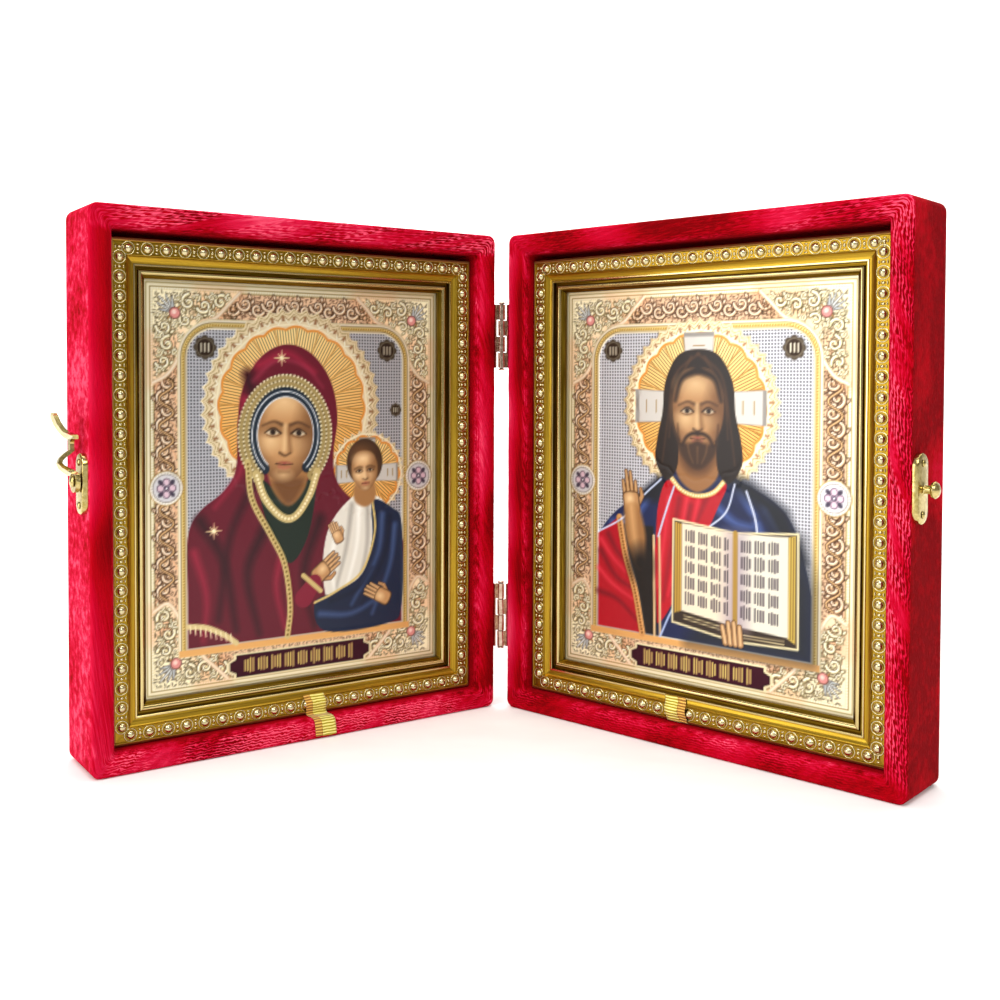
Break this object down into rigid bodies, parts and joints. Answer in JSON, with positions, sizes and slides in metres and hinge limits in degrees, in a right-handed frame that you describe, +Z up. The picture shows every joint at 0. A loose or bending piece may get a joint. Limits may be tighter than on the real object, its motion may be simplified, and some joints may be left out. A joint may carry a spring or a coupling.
{
  "type": "folding icon",
  "caption": "Velvet-covered folding icon: hinged book-like cases, each with a gilded bead-moulding frame and a foil print set in it, and a swing-hook clasp.",
  "frame": {"origin": "middle of the footprint of the open icon, on the surface that it stands on", "axes": "+X from the left half to the right half, -Y out of the open V towards the viewer, +Z up"},
  "size_m": [0.258, 0.1086, 0.168],
  "materials": {
    "velvet": "crushed pile velvet",
    "gilding": "satin antique gilding over a moulded core",
    "foil_print": "foil-stamped lithograph on board",
    "ribbon": "ribbed gold organza",
    "brass": "polished pale brass"
  },
  "bodies": {
    "right_half": {"right_case": "velvet", "right_frame": "gilding", "right_print": "foil_print", "right_pull_ribbon": "ribbon", "upper_hinge_right_leaf": "brass", "upper_hinge_right_screw_1": "brass", "upper_hinge_right_screw_2": "brass", "upper_hinge_pin": "brass", "lower_hinge_right_leaf": "brass", "lower_hinge_right_screw_1": "brass", "lower_hinge_right_screw_2": "brass", "lower_hinge_pin": "brass", "clasp_stud_plate": "brass", "stud_plate_nail_1": "brass", "stud_plate_nail_2": "brass"},
    "left_half": {"left_case": "velvet", "left_frame": "gilding", "left_print": "foil_print", "left_pull_ribbon": "ribbon", "upper_hinge_left_leaf": "brass", "upper_hinge_left_screw_1": "brass", "upper_hinge_left_screw_2": "brass", "lower_hinge_left_leaf": "brass", "lower_hinge_left_screw_1": "brass", "lower_hinge_left_screw_2": "brass", "clasp_hook_plate": "brass", "clasp_rivet": "brass", "hook_plate_nail_1": "brass", "hook_plate_nail_2": "brass"},
    "hook": {"clasp_hook": "brass"}
  },
  "joints": [
    {"name": "fold", "type": "hinge", "parent": "right_half", "child": "left_half", "pos_m": [0, 0.03723, 0.08265], "axis": [0, 0, 1], "range_deg": [-76.5, 103.5]},
    {"name": "hook_swing", "type": "hinge", "parent": "left_half", "child": "hook", "pos_m": [-0.11795, -0.04849, 0.0874], "axis": [0.7853, 0.6191, 0], "range_deg": [-60, 98]}
  ]
}
